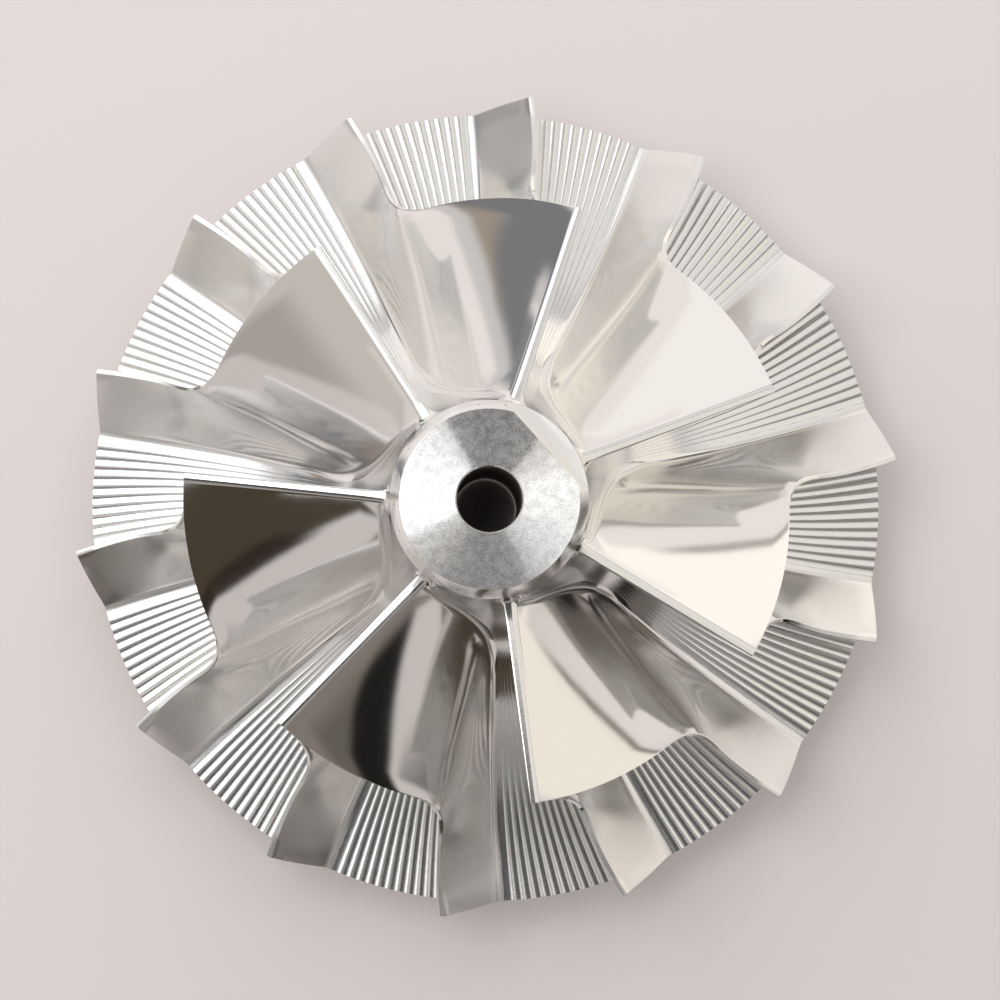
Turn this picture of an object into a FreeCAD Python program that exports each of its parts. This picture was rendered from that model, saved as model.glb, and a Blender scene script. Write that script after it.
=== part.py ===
import FreeCAD, Part
import math
import os

import Sketcher
from FreeCAD import Rotation, Vector

# A milled compressor wheel: seven full blades and seven splitters that stand on one turned hub.
# Frame: origin on the bore's axis in the plane of the back boss, +Z up through the nose, millimetres.
# The first full blade's leading edge lies over +X, and the wheel turns clockwise seen from the nose.

# Driving sizes of the wheel in millimetres and degrees. Heights that end in _rise are measured up from
# the disc's top at its rim, and the wrap angles about the axis from the tip of the leading edge.
SIZES = {
    "bore_dia": 7.0,
    "bore_chamfer": 0.15,
    "nose_dia": 20.1,
    "nose_edge": 0.45,
    "nose_rise": 30.0,
    "inlet_rise": 27.0,
    "hub_inlet_dia": 21.4,
    "inducer_dia": 65.2,
    "disc_dia": 87.6,
    "tip_dia": 91.0,
    "exit_rise": 6.1,
    "disc_top": 8.6,
    "rim_thickness": 1.4,
    "boss_dia": 25.0,
    "boss_step": 0.8,
    "blade_count": 7,
    "root_lean": 2.7,
    "root_wrap": 39.3,
    "tip_wrap": 35.0,
    "backsweep_wrap": 1.8,
    "root_thickness": 1.1,
    "tip_thickness": 0.42,
    "root_fillet": 0.8,
    "balance_chord": 8.1,
    "balance_depth": 1.2,
    "balance_corner": 0.6,
    "balance_angle": 20.7,
}

# Where the blade's inlet turn has died away, as shares of the hub line and of the shroud line.
ROOT_WRAP_END = 0.53
TIP_WRAP_END = 0.755

# Middle control points of the hub line: out from the inlet radius, and share of the inlet rise.
HUB_SHOULDER = (1.2, 0.39)
HUB_FOOT = (4.8, 0.08)

# The shroud line is straight as far as its knee, and then bends: out from the inducer, and rise.
SHROUD_KNEE = 0.41
KNEE_START = (0.25, 15.0)
KNEE_DROP = (0.36, 9.5)
KNEE_TURN = (3.1, 7.8)

# Middle control points of the hollowed back: out from the boss.
BACK_SHOULDER = 9.5
BACK_FOOT = 18.5

# How far the blade solids run past what is kept: into the hub, over the shroud line, past the rim.
SINK = -0.12
PROUD = 1.10
OVERRUN = 1.10

# Where the splitter's leading edge stands on the hub line and on the shroud line.
SPLITTER_ROOT_START = 0.34
SPLITTER_TIP_START = 0.42

# How far the turned hub line runs past the leading edge and past the rim.
HUB_LINE_TOP = -0.034
HUB_LINE_END = 1.14

# Where the turned surfaces have their seam, degrees: clear of the first blade's leading edge.
SEAM_ANGLE = 25

# Points along each side of a blade, which stand closer towards the nose, and round a quarter of the nose.
BLADE_STATIONS = 22
STATION_CROWDING = 1.5
NOSE_STATIONS = 4

# Small step for measuring directions on the middle surface, and how close equal sizes have to be.
STEP = 1e-4
CLOSE = 1e-6

# Clear space that the turned contour leaves under the wheel, over its nose and outside its rim.
MARGIN = 2

doc = FreeCAD.newDocument("compressor_wheel")


def make_sheet():
    """Write every driving size into a spreadsheet cell that carries its name."""
    sheet = doc.addObject("Spreadsheet::Sheet", "sizes")
    for row, (name, value) in enumerate(SIZES.items(), start=1):
        sheet.set(f"A{row}", name)
        sheet.set(f"B{row}", str(value))
        sheet.setAlias(f"B{row}", name)
    doc.recompute()
    return sheet


sheet = make_sheet()


def size(name):
    """Read one driving size from the sheet."""
    return float(sheet.get(name))


def hub_poles():
    """Control points (radius, height) of the hub line, from the leading edge to the rim."""
    top = size("disc_top")
    inlet = size("hub_inlet_dia") / 2
    rim = size("disc_dia") / 2
    rise = size("inlet_rise")
    return [
        (inlet, top + rise),
        (inlet + HUB_SHOULDER[0], top + HUB_SHOULDER[1] * rise),
        (inlet + HUB_FOOT[0], top + HUB_FOOT[1] * rise),
        (rim, top),
    ]


def knee_poles():
    """Control points (radius, height) of the shroud line's bend, from the straight inducer to the tip."""
    top = size("disc_top")
    inducer = size("inducer_dia") / 2
    bend = [(inducer + out, top + rise) for out, rise in (KNEE_START, KNEE_DROP, KNEE_TURN)]
    return bend + [(size("tip_dia") / 2, top + size("exit_rise"))]


def bezier_point(poles, u):
    """Point (radius, height) of a cubic Bezier line at u."""
    v = 1 - u
    weights = (v**3, 3 * u * v**2, 3 * u**2 * v, u**3)
    return tuple(sum(w * p[k] for w, p in zip(weights, poles)) for k in (0, 1))


def piece(poles, first, last):
    """Control points of the same cubic between two of its parameters, which may lie past its ends."""

    def blossom(stops):
        points = list(poles)
        for u in stops:
            points = [
                tuple(a + (b - a) * u for a, b in zip(start, end)) for start, end in zip(points, points[1:])
            ]
        return points[0]

    return [blossom([first] * (3 - k) + [last] * k) for k in range(4)]


def hub_line(m):
    """Point of the hub line at m: 0 at the leading edge, 1 at the rim."""
    return bezier_point(hub_poles(), m)


def shroud_line(m):
    """Point of the shroud line at m: 0 at the leading edge, 1 at the exducer tip."""
    if m < SHROUD_KNEE:
        start = (size("inducer_dia") / 2, size("disc_top") + size("inlet_rise"))
        end = knee_poles()[0]
        return tuple(a + (b - a) * m / SHROUD_KNEE for a, b in zip(start, end))
    return bezier_point(knee_poles(), (m - SHROUD_KNEE) / (1 - SHROUD_KNEE))


def wrap(m, lean, inlet_wrap, inlet_end):
    """Angle in degrees about the axis: a fast inlet turn that dies away, then the backsweep at the exit."""
    inlet = 1 - (1 - min(m, inlet_end) / inlet_end) ** 2
    sweep = max(m - inlet_end, 0) / (1 - inlet_end)
    return lean + inlet_wrap * inlet + size("backsweep_wrap") * sweep**2


def polar(point, angle):
    """A (radius, height) point turned to an angle in degrees."""
    radius, height = point
    turn = math.radians(angle)
    return Vector(radius * math.cos(turn), radius * math.sin(turn), height)


class Blade:
    """One blade family: a surface of straight rulings between the hub line and the shroud line."""

    def __init__(self, root_start, tip_start):
        self.root_start = root_start
        self.tip_start = tip_start

    def camber(self, along, span):
        """Middle surface at along (0 leading edge, 1 trailing edge) and span (0 hub, 1 shroud)."""
        root_m = self.root_start + (1 - self.root_start) * along
        tip_m = self.tip_start + (1 - self.tip_start) * along
        root_angle = wrap(root_m, size("root_lean"), size("root_wrap"), ROOT_WRAP_END)
        root = polar(hub_line(root_m), root_angle)
        tip = polar(shroud_line(tip_m), wrap(tip_m, 0, size("tip_wrap"), TIP_WRAP_END))
        return root + (tip - root) * span

    def frame(self, along, span):
        """Unit vectors at a point: downstream along the blade, and square to its pressure side."""
        flow = self.camber(along + STEP, span) - self.camber(along - STEP, span)
        rise = self.camber(along, span + STEP) - self.camber(along, span - STEP)
        side = flow.cross(rise)
        return flow.normalize(), side.normalize()

    def half_thickness(self, span):
        """Half the blade's thickness at a span, from the root to the tip."""
        root = size("root_thickness") / 2
        tip = size("tip_thickness") / 2
        return root + (tip - root) * span

    def outline(self, span):
        """Points round the blade at one span: down the pressure side to the nose, and up the suction side."""
        half = self.half_thickness(span)
        start = half * STEP / (self.camber(STEP, span) - self.camber(0, span)).Length
        flow, side = self.frame(start, span)
        centre = self.camber(start, span)
        sides = []
        for sign in (1, -1):
            line = []
            for k in range(NOSE_STATIONS + 1):
                turn = math.radians(90 * k / NOSE_STATIONS)
                line.append(centre - flow * (half * math.cos(turn)) + side * (half * math.sin(turn) * sign))
            for k in range(1, BLADE_STATIONS):
                along = start + (OVERRUN - start) * (k / (BLADE_STATIONS - 1)) ** STATION_CROWDING
                _, square = self.frame(along, span)
                line.append(self.camber(along, span) + square * (half * sign))
            sides.append(line)
        return sides[0][::-1] + sides[1][1:]

    def solid(self):
        """The closed blade: two ruled sides that meet round the nose, and ends that get trimmed away."""
        low = self.outline(SINK)
        high = self.outline(PROUD)
        places = [0.0]
        for k in range(1, len(low)):
            places.append(places[-1] + (low[k] - low[k - 1]).Length + (high[k] - high[k - 1]).Length)
        nose = places[len(places) // 2]
        rails = []
        for points in (low, high):
            whole = Part.BSplineCurve()
            whole.interpolate(Points=points, Parameters=places)
            pressure = whole.copy()
            pressure.segment(places[0], nose)
            suction = whole.copy()
            suction.segment(nose, places[-1])
            rails.append((pressure.toShape(), suction.toShape()))
        (low_pressure, low_suction), (high_pressure, high_suction) = rails
        faces = [
            Part.makeRuledSurface(low_pressure, high_pressure),
            Part.makeRuledSurface(low_suction, high_suction),
            Part.makeRuledSurface(low_pressure, low_suction),
            Part.makeRuledSurface(high_pressure, high_suction),
            Part.makeRuledSurface(Part.makeLine(low[0], low[-1]), Part.makeLine(high[0], high[-1])),
        ]
        shell = Part.makeShell(faces)
        shell.sewShape()
        solid = Part.Solid(Part.Shell(shell.Faces))
        if solid.Volume < 0:
            solid.reverse()
        return solid


def origin_plane(body, role):
    """One of a body's own origin planes."""
    return next(feature for feature in body.Origin.OriginFeatures if feature.Role == role)


def turned_body(label, corners, curves, bound):
    """A body revolved about Z from a closed outline of (radius, height) corners in its XZ plane.

    curves maps the index of a side to the Bezier control points that replace its straight line, and
    bound maps the index of a corner to the sheet formulas of its radius and its height.
    """
    body = doc.addObject("PartDesign::Body", label)
    body.Label = label
    sketch = body.newObject("Sketcher::SketchObject", label + "_outline")
    sketch.AttachmentSupport = [(origin_plane(body, "XZ_Plane"), "")]
    sketch.MapMode = "FlatFace"
    points = [Vector(radius, height, 0) for radius, height in corners]
    for k, start in enumerate(points):
        if k in curves:
            poles = [Vector(radius, height, 0) for radius, height in curves[k]]
            sketch.addGeometry(Part.BSplineCurve(poles, None, None, False, 3, None, False))
        else:
            sketch.addGeometry(Part.LineSegment(start, points[(k + 1) % len(points)]))
    for k in range(len(points)):
        sketch.addConstraint(Sketcher.Constraint("Coincident", k, 2, (k + 1) % len(points), 1))
    for k, formulas in bound.items():
        for kind, value, formula in zip(("DistanceX", "DistanceY"), corners[k], formulas):
            number = sketch.addConstraint(Sketcher.Constraint(kind, -1, 1, k, 1, value))
            sketch.setExpression(f"Constraints[{number}]", formula)
    doc.recompute()
    turned = body.newObject("PartDesign::Revolution", label + "_turned")
    turned.Profile = sketch
    turned.ReferenceAxis = (sketch, ["V_Axis"])
    turned.Angle = 360
    doc.recompute()
    return body


def make_hub():
    """The turned hub while its disc is still oversize: bore, back boss, thin disc, flow surface and nose."""
    bore = size("bore_dia") / 2
    chamfer = size("bore_chamfer")
    boss = size("boss_dia") / 2
    step = size("boss_step")
    top = size("disc_top")
    nose = size("nose_dia") / 2
    edge = size("nose_edge")
    crown = top + size("nose_rise")
    flow = piece(hub_poles(), HUB_LINE_TOP, HUB_LINE_END)
    corners = [
        (bore + chamfer, 0),
        (boss, 0),
        (boss + step / 2, step),
        (flow[3][0], top - size("rim_thickness")),
        flow[3],
        flow[0],
        (nose, crown - edge),
        (nose - edge, crown),
        (bore + chamfer, crown),
        (bore, crown - chamfer),
        (bore, chamfer),
    ]
    rim = corners[3]
    back = [corners[2], (boss + BACK_SHOULDER, 2 * step), (boss + BACK_FOOT, rim[1] - step), rim]
    cell = "<<sizes>>."
    crown_formula = f"{cell}disc_top + {cell}nose_rise"
    bound = {
        1: (f"{cell}boss_dia / 2", "0"),
        2: (f"{cell}boss_dia / 2 + {cell}boss_step / 2", f"{cell}boss_step"),
        6: (f"{cell}nose_dia / 2", f"{crown_formula} - {cell}nose_edge"),
        7: (f"{cell}nose_dia / 2 - {cell}nose_edge", crown_formula),
        9: (f"{cell}bore_dia / 2", f"{crown_formula} - {cell}bore_chamfer"),
        10: (f"{cell}bore_dia / 2", f"{cell}bore_chamfer"),
    }
    hub = turned_body("hub_blank", corners, {2: back, 4: flow[::-1]}, bound)
    hub.Placement.Rotation = Rotation(Vector(0, 0, 1), SEAM_ANGLE)
    return hub


def make_envelope():
    """The turned outer contour that everything is cut to: rim, exducer cone, shroud line and clear space."""
    top = size("disc_top")
    knee = knee_poles()
    rim = size("disc_dia") / 2
    inducer = size("inducer_dia") / 2
    ceiling = top + size("nose_rise") + MARGIN
    corners = [
        (0, -MARGIN),
        (rim, -MARGIN),
        (rim, top),
        knee[3],
        knee[0],
        (inducer, top + size("inlet_rise")),
        (inducer, ceiling),
        (0, ceiling),
    ]
    cell = "<<sizes>>."
    bound = {
        2: (f"{cell}disc_dia / 2", f"{cell}disc_top"),
        3: (f"{cell}tip_dia / 2", f"{cell}disc_top + {cell}exit_rise"),
        5: (f"{cell}inducer_dia / 2", f"{cell}disc_top + {cell}inlet_rise"),
    }
    return turned_body("envelope", corners, {3: knee[::-1]}, bound)


def make_blades():
    """Seven full blades, and seven splitters half way between them, as separate placed solids."""
    count = int(size("blade_count"))
    splitter = Blade(SPLITTER_ROOT_START, SPLITTER_TIP_START)
    blades = []
    for label, family, offset in (("full_blade", Blade(0, 0), 0), ("splitter", splitter, 0.5)):
        solid = family.solid()
        for k in range(count):
            blade = doc.addObject("Part::Feature", f"{label}_{k + 1}")
            blade.Label = f"{label}_{k + 1}"
            blade.Shape = solid
            blade.Placement.Rotation = Rotation(Vector(0, 0, 1), 360 / count * (k + offset))
            blades.append(blade)
    return blades


def root_edges(shape):
    """Numbers of the edges where a blade's side meets the hub's flow surface."""
    bladed = ("Part::GeomBSplineSurface", "Part::GeomBezierSurface")
    kept = size("disc_dia") / 2 + MARGIN
    numbers = []
    for number, edge in enumerate(shape.Edges, start=1):
        faces = shape.ancestorsOfType(edge, Part.Face)
        kinds = [face.Surface.TypeId for face in faces]
        middle = edge.valueAt((edge.FirstParameter + edge.LastParameter) / 2)
        on_hub = "Part::GeomSurfaceOfRevolution" in kinds and edge.BoundBox.ZMax > size("disc_top")
        if on_hub and any(kind in bladed for kind in kinds) and math.hypot(middle.x, middle.y) < kept:
            numbers.append(number)
    return numbers


def make_balance_cutter():
    """The block whose rounded lower edge takes the balance cut out of the nose's corner."""
    chord = size("balance_chord")
    floor = size("disc_top") + size("nose_rise") - size("balance_depth")
    block = doc.addObject("Part::Box", "balance_block")
    block.setExpression("Length", "<<sizes>>.nose_dia / 4")
    block.setExpression("Width", "<<sizes>>.nose_dia")
    block.setExpression("Height", "<<sizes>>.balance_depth * 2")
    turn = Rotation(Vector(0, 0, 1), size("balance_angle"))
    start = turn.multVec(Vector(chord, -size("nose_dia") / 2, floor))
    block.Placement = FreeCAD.Placement(start, turn)
    doc.recompute()
    lower = []
    for number, edge in enumerate(block.Shape.Edges, start=1):
        ends = [turn.inverted().multVec(end.Point) for end in edge.Vertexes]
        if all(abs(end.z - floor) < CLOSE and abs(end.x - chord) < CLOSE for end in ends):
            lower.append(number)
    radius = size("balance_corner")
    cutter = doc.addObject("Part::Fillet", "balance_cutter")
    cutter.Base = block
    cutter.Edges = [(number, radius, radius) for number in lower]
    return cutter


def make_wheel():
    """Fuse the blades on the hub, round their roots, cut to the turned contour, then balance."""
    fused = doc.addObject("Part::MultiFuse", "bladed_blank")
    fused.Shapes = [make_hub()] + make_blades()
    doc.recompute()
    fillet = size("root_fillet")
    rounded = doc.addObject("Part::Fillet", "rounded_blank")
    rounded.Base = fused
    rounded.Edges = [(number, fillet, fillet) for number in root_edges(fused.Shape)]
    trimmed = doc.addObject("Part::Common", "contoured_wheel")
    trimmed.Base = rounded
    trimmed.Tool = make_envelope()
    wheel = doc.addObject("Part::Cut", "wheel")
    wheel.Label = "compressor_wheel"
    wheel.Base = trimmed
    wheel.Tool = make_balance_cutter()
    doc.recompute()
    return wheel


def check(objects):
    """Stop if any object of the document failed, or if a shape is missing or broken."""
    for item in objects:
        if {"Invalid", "Error"} & set(item.State):
            raise RuntimeError(f"{item.Label} failed: {item.State}")
        shape = getattr(item, "Shape", None)
        if shape is not None and (shape.isNull() or not shape.isValid()):
            raise RuntimeError(f"{item.Label} has no sound shape")


wheel = make_wheel()
check(doc.Objects)
if len(wheel.Shape.Solids) != 1:
    raise RuntimeError(f"the wheel came out as {len(wheel.Shape.Solids)} solids")
os.makedirs("parts", exist_ok=True)
wheel.Shape.Solids[0].exportStep(f"parts/{wheel.Label}.step")
print(f"{wheel.Label}: {len(wheel.Shape.Faces)} faces, {wheel.Shape.Volume:.0f} mm3")
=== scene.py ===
"""Milled compressor wheel: a turned hub with seven full blades and seven splitters, dressed for rendering.

The wheel keeps the frame of its solid: origin on the bore's axis in the plane of the back boss, +Z up
through the nose, metres. The first full blade's leading edge lies over +X.
"""

import logging
import math
from dataclasses import dataclass, field
from enum import Enum
from typing import Callable

import bmesh
import bpy
import numpy as np
from mathutils import Matrix, Vector


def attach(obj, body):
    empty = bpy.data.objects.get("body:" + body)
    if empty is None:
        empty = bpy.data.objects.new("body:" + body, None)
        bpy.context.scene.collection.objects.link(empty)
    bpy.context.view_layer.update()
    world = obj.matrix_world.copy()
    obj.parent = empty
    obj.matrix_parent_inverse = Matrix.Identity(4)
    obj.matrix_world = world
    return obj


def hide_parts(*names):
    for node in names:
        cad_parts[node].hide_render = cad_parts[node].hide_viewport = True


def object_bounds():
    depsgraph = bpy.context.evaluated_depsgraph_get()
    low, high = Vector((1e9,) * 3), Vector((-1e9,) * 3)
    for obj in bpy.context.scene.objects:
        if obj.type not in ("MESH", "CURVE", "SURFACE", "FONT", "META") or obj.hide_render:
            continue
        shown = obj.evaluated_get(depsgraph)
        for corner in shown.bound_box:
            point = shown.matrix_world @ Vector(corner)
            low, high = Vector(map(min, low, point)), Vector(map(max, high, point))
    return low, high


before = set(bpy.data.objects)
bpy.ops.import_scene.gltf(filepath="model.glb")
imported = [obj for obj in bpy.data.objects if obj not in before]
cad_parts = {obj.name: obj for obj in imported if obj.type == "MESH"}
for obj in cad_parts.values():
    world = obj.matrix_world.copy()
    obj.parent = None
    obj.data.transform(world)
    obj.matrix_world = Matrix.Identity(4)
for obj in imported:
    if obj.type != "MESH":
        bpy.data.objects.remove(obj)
cad_box = [list(corner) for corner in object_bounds()]
log = logging.getLogger("compressor_wheel")

MM = 0.001
NODE = "compressor_wheel"
LAY = "lay"
HUB_START, HUB_END = -0.034, 1.14
SHROUD_END = 1.15
LINE_SAMPLES = 4000

Array = np.ndarray
Socket = bpy.types.NodeSocket
Colour = tuple[float, float, float]


# ---------------------------------------------------------------------------------------------------
# Form: the lines and surfaces that the wheel is turned and milled to.
# ---------------------------------------------------------------------------------------------------


@dataclass(frozen=True)
class Sizes:
    """Driving sizes of the wheel in millimetres. A rise is measured up from the disc's top at its rim."""

    bore_radius: float = 3.5
    bore_chamfer: float = 0.15
    nose_radius: float = 10.05
    nose_edge: float = 0.45
    nose_rise: float = 30.0
    inlet_rise: float = 27.0
    hub_inlet_radius: float = 10.7
    inducer_radius: float = 32.6
    disc_radius: float = 43.8
    tip_radius: float = 45.5
    exit_rise: float = 6.1
    disc_top: float = 8.6
    rim_thickness: float = 1.4
    boss_radius: float = 12.5
    boss_step: float = 0.8
    root_thickness: float = 1.1
    tip_thickness: float = 0.42
    root_fillet: float = 1.5
    blade_count: int = 7
    balance_chord: float = 8.1
    balance_depth: float = 1.2
    balance_corner: float = 0.6
    balance_angle: float = 20.7

    @property
    def crown(self) -> float:
        """Height of the nose face above the back boss."""
        return self.disc_top + self.nose_rise


@dataclass(frozen=True)
class CubicLine:
    """A cubic Bezier line in the (radius, height) half plane."""

    poles: Array

    def at(self, u: Array) -> Array:
        """Points of the line.

        Args:
            u: Parameters, 0 at the line's start and 1 at its end.

        Returns:
            Array of (radius, height) pairs.
        """
        u = np.asarray(u, float)[..., None]
        v = 1 - u
        a, b, c, d = self.poles
        return v**3 * a + 3 * u * v**2 * b + 3 * u**2 * v * c + u**3 * d


@dataclass(frozen=True)
class Contours:
    """The hub line, the shroud line and the wrap of the blades about the axis.

    Both lines run from the leading edge at m = 0 to the trailing edge at m = 1, and a little past both.
    """

    sizes: Sizes
    knee: float = 0.41
    root_lean: float = 2.7
    root_wrap: float = 39.3
    root_wrap_end: float = 0.53
    tip_wrap: float = 35.0
    tip_wrap_end: float = 0.755
    backsweep: float = 1.8

    @property
    def hub_line(self) -> CubicLine:
        """The hub's flow line, from the leading edge to the rim. Its middle poles set how fast it turns out.

        Returns:
            The line.
        """
        s = self.sizes
        top, inlet, rise = s.disc_top, s.hub_inlet_radius, s.inlet_rise
        poles = [
            (inlet, top + rise),
            (inlet + 1.2, top + 0.39 * rise),
            (inlet + 4.8, top + 0.08 * rise),
            (s.disc_radius, top),
        ]
        return CubicLine(np.array(poles))

    @property
    def bend_line(self) -> CubicLine:
        """The shroud line's bend, from the straight inducer to the exducer tip.

        Returns:
            The line.
        """
        s = self.sizes
        top, inducer = s.disc_top, s.inducer_radius
        poles = [
            (inducer + 0.25, top + 15.0),
            (inducer + 0.36, top + 9.5),
            (inducer + 3.1, top + 7.8),
            (s.tip_radius, top + s.exit_rise),
        ]
        return CubicLine(np.array(poles))

    def hub(self, m: Array) -> Array:
        """Points (radius, height) of the hub line."""
        return self.hub_line.at(m)

    def hub_samples(self) -> tuple[Array, Array]:
        """Places along the hub line, from a little before it to past its end, and its points there."""
        m = np.linspace(HUB_START, HUB_END, LINE_SAMPLES)
        return m, self.hub(m)

    def shroud(self, m: Array) -> Array:
        """Points of the shroud line: straight as far as the knee, then the bend.

        Args:
            m: Places, 0 at the leading edge and 1 at the trailing edge.

        Returns:
            Array of (radius, height) pairs.
        """
        s = self.sizes
        m = np.asarray(m, float)
        start = np.array([s.inducer_radius, s.disc_top + s.inlet_rise])
        end = self.bend_line.poles[0]
        straight = start + (end - start) * (m / self.knee)[..., None]
        bend = self.bend_line.at((m - self.knee) / (1 - self.knee))
        return np.where((m < self.knee)[..., None], straight, bend)

    def wrap(self, m: Array, lean: float, inlet_wrap: float, inlet_end: float) -> Array:
        """Angle about the axis: a fast inlet turn that dies away, then the backsweep at the exit.

        Args:
            m: Place along the line, 0 at the leading edge and 1 at the trailing edge.
            lean: Angle at the leading edge, degrees.
            inlet_wrap: Wrap of the inlet turn, degrees.
            inlet_end: Place where the inlet turn has died away.

        Returns:
            Angles in radians.
        """
        m = np.asarray(m, float)
        inlet = 1 - (1 - np.minimum(m, inlet_end) / inlet_end) ** 2
        sweep = np.maximum(m - inlet_end, 0) / (1 - inlet_end)
        return np.radians(lean + inlet_wrap * inlet + self.backsweep * sweep**2)

    def root_angle(self, m: Array) -> Array:
        """Angle of the blade's middle surface at the hub, radians."""
        return self.wrap(m, self.root_lean, self.root_wrap, self.root_wrap_end)

    def tip_angle(self, m: Array) -> Array:
        """Angle of the blade's middle surface at the shroud, radians."""
        return self.wrap(m, 0.0, self.tip_wrap, self.tip_wrap_end)


def turned(points: Array, angle: Array) -> Array:
    """Turn (radius, height) points about the axis.

    Args:
        points: Array of (radius, height) pairs.
        angle: Angles in radians, one for each point.

    Returns:
        Array of (x, y, z) points.
    """
    radius, height = points[..., 0], points[..., 1]
    return np.stack([radius * np.cos(angle), radius * np.sin(angle), height], -1)


def unit(vectors: Array) -> Array:
    """Vectors scaled to length 1."""
    return vectors / np.linalg.norm(vectors, axis=-1, keepdims=True)


def eased(share: Array) -> Array:
    """Shares from 0 to 1 made to start and stop gently."""
    return share * share * (3 - 2 * share)


def solve(miss: Callable[[Array], Array], low: Array, high: Array, rounds: int = 44) -> Array:
    """Find where a rising function crosses zero, by halving.

    Args:
        miss: Function that is negative below the crossing and positive above it.
        low: Values below the crossing.
        high: Values above the crossing.
        rounds: Number of halvings.

    Returns:
        The crossings.
    """
    low, high = np.array(low, float), np.array(high, float)
    for _ in range(rounds):
        middle = (low + high) / 2
        above = miss(middle) > 0
        high = np.where(above, middle, high)
        low = np.where(above, low, middle)
    return (low + high) / 2


class Side(Enum):
    """The two sides of a blade, with the sign of the offset from its middle surface."""

    PRESSURE = 1
    SUCTION = -1


@dataclass(frozen=True)
class BladeForm:
    """One blade family: straight rulings between the hub line and the shroud line.

    root_start and tip_start are where its leading edge stands on the two lines. The nose is round, unless
    corners says how much of a leading edge that is turned flat is rounded off, from the middle to the
    pressure side and to the suction side. Its sides run on past what is seen: from the span sink to the span
    proud, and downstream as far as overrun.
    """

    contours: Contours
    root_start: float = 0.0
    tip_start: float = 0.0
    corners: tuple[float, float] | None = None
    sink: float = -0.12
    proud: float = 1.10
    overrun: float = 1.10

    def camber(self, along: Array, span: float) -> Array:
        """Points of the middle surface.

        Args:
            along: 0 at the leading edge and 1 at the trailing edge.
            span: 0 at the hub and 1 at the shroud.

        Returns:
            Array of points.
        """
        c = self.contours
        root_m = self.root_start + (1 - self.root_start) * along
        tip_m = self.tip_start + (1 - self.tip_start) * along
        root = turned(c.hub(root_m), c.root_angle(root_m))
        tip = turned(c.shroud(tip_m), c.tip_angle(tip_m))
        return root + (tip - root) * span

    def axes(self, along: Array, span: float) -> tuple[Array, Array]:
        """Unit vectors on the middle surface.

        Args:
            along: 0 at the leading edge and 1 at the trailing edge.
            span: 0 at the hub and 1 at the shroud.

        Returns:
            The way downstream, and the way square to the surface on the pressure side.
        """
        step = 1e-4
        flow = self.camber(along + step, span) - self.camber(along - step, span)
        rise = self.camber(along, span + step) - self.camber(along, span - step)
        return unit(flow), unit(np.cross(flow, rise))

    def rail(self, share: Array, side: Side, span: float) -> Array:
        """Points round one side of the blade at a span.

        Args:
            share: From -1 at the nose's foremost point, through 0 where the side begins, to 1 past the end.
            side: Which side of the blade.
            span: 0 at the hub and 1 at the shroud; may lie outside both.

        Returns:
            Array of points.
        """
        s = self.contours.sizes
        half = (s.root_thickness + (s.tip_thickness - s.root_thickness) * span) / 2
        first, second = np.array(0.0), np.array(0.02)
        chord = np.linalg.norm(self.camber(second, span) - self.camber(first, span)) / second
        flow, square = self.axes(first, span)
        slant = square[2] / flow[2]
        face = square - flow * slant
        rounded = 0.0
        if self.corners:
            rounded = half * np.linalg.norm(face) * self.corners[0 if side is Side.PRESSURE else 1]
        lead = rounded - half * side.value * slant if self.corners else half
        share = np.asarray(share, float)
        start = lead / chord
        along = start + (self.overrun - start) * np.maximum(share, 0)
        flow_there, square_there = self.axes(along, span)
        wall = self.camber(along, span) + square_there * (half * side.value)
        turn = (1 + np.minimum(share, 0))[..., None]
        if not self.corners:
            turn = turn * math.pi / 2
            back = flow_there * half * np.cos(turn)
            return wall - back - square_there * (half * side.value) * (1 - np.sin(turn))
        front = self.camber(first, span)
        inner = half - rounded / np.linalg.norm(face)
        shoulder, corner = (front + face * (reach * side.value) for reach in (inner, half))
        flat = front + (shoulder - front) * np.minimum(2 * turn, 1)
        bend = np.maximum(2 * turn - 1, 0)
        nose = flat * (1 - bend) ** 2 + corner * 2 * bend * (1 - bend) + wall * bend**2
        return np.where(turn < 1, nose, wall)


def above_hub(contours: Contours, points: Array) -> Array:
    """How far points stand above the hub's flow surface.

    Args:
        contours: The wheel's contours.
        points: Array of points.

    Returns:
        Distances measured along Z, negative below the surface.
    """
    _, line = contours.hub_samples()
    radius = np.hypot(points[..., 0], points[..., 1])
    return points[..., 2] - np.interp(radius, line[:, 0], line[:, 1])


def outside_shroud(contours: Contours, points: Array) -> Array:
    """How far points stand outside the shroud surface.

    Args:
        contours: The wheel's contours.
        points: Array of points.

    Returns:
        Distances measured along the radius, negative inside the surface.
    """
    line = contours.shroud(np.linspace(0, SHROUD_END, LINE_SAMPLES))[::-1]
    radius = np.hypot(points[..., 0], points[..., 1])
    return radius - np.interp(points[..., 2], line[:, 1], line[:, 0])


def hub_normal(contours: Contours, points: Array) -> Array:
    """Normals of the hub's flow surface at the radius of each point.

    Args:
        contours: The wheel's contours.
        points: Array of points.

    Returns:
        Unit vectors that point out of the metal.
    """
    _, line = contours.hub_samples()
    radius = np.hypot(points[..., 0], points[..., 1])
    fall = np.interp(radius, line[:, 0], np.gradient(line[:, 1], line[:, 0]))
    outward = points[..., :2] / radius[..., None]
    return unit(np.concatenate([-fall[..., None] * outward, np.ones_like(fall)[..., None]], -1))


def on_hub(contours: Contours, points: Array) -> Array:
    """Move points square onto the hub's flow surface.

    Args:
        contours: The wheel's contours.
        points: Points near the surface.

    Returns:
        The moved points.
    """
    for _ in range(3):
        normal = hub_normal(contours, points)
        drop = above_hub(contours, points) * normal[..., 2]
        points = points - normal * drop[..., None]
    return points


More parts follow.
